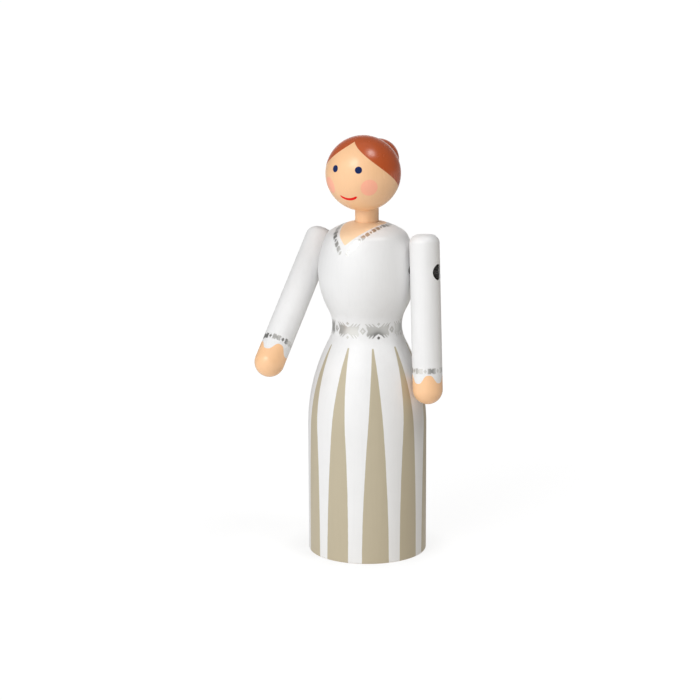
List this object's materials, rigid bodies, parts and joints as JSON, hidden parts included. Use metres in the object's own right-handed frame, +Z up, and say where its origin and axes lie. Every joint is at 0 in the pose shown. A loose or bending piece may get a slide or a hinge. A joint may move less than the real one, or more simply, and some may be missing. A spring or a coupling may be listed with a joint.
{
  "type": "wooden bride figure",
  "caption": "Turned wooden bride figure with a full painted skirt, a ball head that turns on a dowel neck and dowel arms that swing on an elastic cord.",
  "frame": {"origin": "centre of the skirt's flat underside, on the axis that the body is turned about", "axes": "+Z up along the body's axis, the figure faces -Y, and its left arm is on the +X side"},
  "size_m": [0.0684, 0.0603, 0.17],
  "materials": {
    "white_paint": "satin white lacquer with printed stripes and silver borders",
    "skin_paint": "satin lacquer, with the hair and the face painted on",
    "hair_paint": "satin red-brown lacquer",
    "bare_wood": "unpainted",
    "elastic": "black elastic with a woven cover"
  },
  "bodies": {
    "torso": {"body": "white_paint", "shoulder_cord": "elastic"},
    "head": {"head": "skin_paint", "neck_peg": "skin_paint", "hair_bun": "hair_paint", "bun_dowel": "bare_wood"},
    "left_arm": {"left_arm": "white_paint", "left_knot": "elastic"},
    "right_arm": {"right_arm": "white_paint", "right_knot": "elastic"}
  },
  "joints": [
    {"name": "head_turn", "type": "hinge", "parent": "torso", "child": "head", "pos_m": [0, 0, 0.1359], "axis": [0, 0, 1], "continuous": true},
    {"name": "left_arm_swing", "type": "hinge", "parent": "torso", "child": "left_arm", "pos_m": [0.02585, 0, 0.1171], "axis": [-0.9992, 0, -0.0406], "continuous": true},
    {"name": "right_arm_swing", "type": "hinge", "parent": "torso", "child": "right_arm", "pos_m": [-0.02585, 0, 0.1171], "axis": [-0.9992, 0, 0.0406], "continuous": true}
  ]
}
